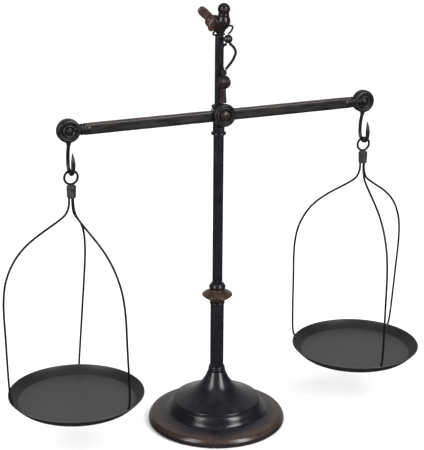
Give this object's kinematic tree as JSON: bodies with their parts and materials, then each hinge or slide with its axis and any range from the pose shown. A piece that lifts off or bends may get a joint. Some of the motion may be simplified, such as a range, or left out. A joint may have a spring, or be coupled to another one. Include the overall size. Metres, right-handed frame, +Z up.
{
  "type": "decorative balance scale",
  "caption": "Blackened metal balance scale: turned column on a weighted foot, rocking beam, hooks, wire hangers with round pans, a bird finial and a hanging tassel.",
  "frame": {"origin": "centre of the foot's underside, on the felt", "axes": "+Z up the column, +X along the right arm of the beam, -Y towards the front, where the hub cap and the tassel are"},
  "size_m": [0.5116, 0.1737, 0.496],
  "materials": {
    "satin_black": "satin black lacquer, rubbed brown at the edges",
    "dark_casting": "brown-black patina with fine brushed streaks",
    "aged_bronze": "dark antique bronze, rubbed bright on the high spots",
    "black_wire": "satin black",
    "pan_sheet": "matt charcoal, faintly mottled",
    "zinc_steel": "zinc plated",
    "raw_iron": "raw casting",
    "bare_brass": "plain brass",
    "felt": "black felt"
  },
  "bodies": {
    "stand": {"base_foot": "satin_black", "felt_pad": "felt", "bottom_plate": "zinc_steel", "ballast_weight": "raw_iron", "base_washer": "zinc_steel", "base_nut": "zinc_steel", "tie_rod": "zinc_steel", "neck_collar": "satin_black", "lower_tube": "satin_black", "knop_lower_collar": "satin_black", "knop": "aged_bronze", "knop_upper_collar": "satin_black", "upper_tube": "satin_black", "lower_pivot_ring": "satin_black", "pivot_sleeve": "satin_black", "upper_pivot_ring": "satin_black", "top_post": "satin_black", "bird_finial": "dark_casting", "pivot_front_washer": "bare_brass", "pivot_rear_washer": "zinc_steel", "pivot_nut": "zinc_steel", "pivot_bolt": "dark_casting"},
    "beam": {"beam_bar": "dark_casting", "hub_bush": "bare_brass", "hub_cap": "dark_casting", "left_front_rosette": "dark_casting", "left_rear_rosette": "dark_casting", "left_eye_pin": "dark_casting", "left_pin_cap": "dark_casting", "right_front_rosette": "dark_casting", "right_rear_rosette": "dark_casting", "right_eye_pin": "dark_casting", "right_pin_cap": "dark_casting"},
    "left_hook": {"left_hook": "dark_casting"},
    "left_hanger": {"left_ring": "black_wire", "left_ferrule": "satin_black", "left_wire_a": "black_wire", "left_wire_b": "black_wire", "left_wire_c": "black_wire", "left_pan": "pan_sheet"},
    "right_hook": {"right_hook": "dark_casting"},
    "right_hanger": {"right_ring": "black_wire", "right_ferrule": "satin_black", "right_wire_a": "black_wire", "right_wire_b": "black_wire", "right_wire_c": "black_wire", "right_pan": "pan_sheet"},
    "tassel": {"tassel_loop": "black_wire", "tassel_bead": "aged_bronze", "tassel_right_strand": "black_wire", "tassel_left_strand": "black_wire", "tassel_knot": "aged_bronze", "tassel_ball": "aged_bronze", "tassel_skirt": "aged_bronze"}
  },
  "joints": [
    {"name": "beam_rock", "type": "hinge", "parent": "stand", "child": "beam", "pos_m": [0, -0.009, 0.3739], "axis": [0, 1, 0], "range_deg": [-12, 12]},
    {"name": "left_hook_swing", "type": "hinge", "parent": "beam", "child": "left_hook", "pos_m": [-0.178, -0.009, 0.3728], "axis": [0, -1, 0], "range_deg": [-15, 15]},
    {"name": "left_pan_swing", "type": "hinge", "parent": "left_hook", "child": "left_hanger", "pos_m": [-0.178, -0.014, 0.329], "axis": [1, 0, 0], "range_deg": [-15, 15]},
    {"name": "right_hook_swing", "type": "hinge", "parent": "beam", "child": "right_hook", "pos_m": [0.178, -0.009, 0.3728], "axis": [0, -1, 0], "range_deg": [-15, 15]},
    {"name": "right_pan_swing", "type": "hinge", "parent": "right_hook", "child": "right_hanger", "pos_m": [0.178, -0.014, 0.329], "axis": [1, 0, 0], "range_deg": [-15, 15]},
    {"name": "tassel_swing", "type": "hinge", "parent": "stand", "child": "tassel", "pos_m": [0.006, 0.0087, 0.4664], "axis": [-1, 0, 0], "range_deg": [0, 12]}
  ]
}
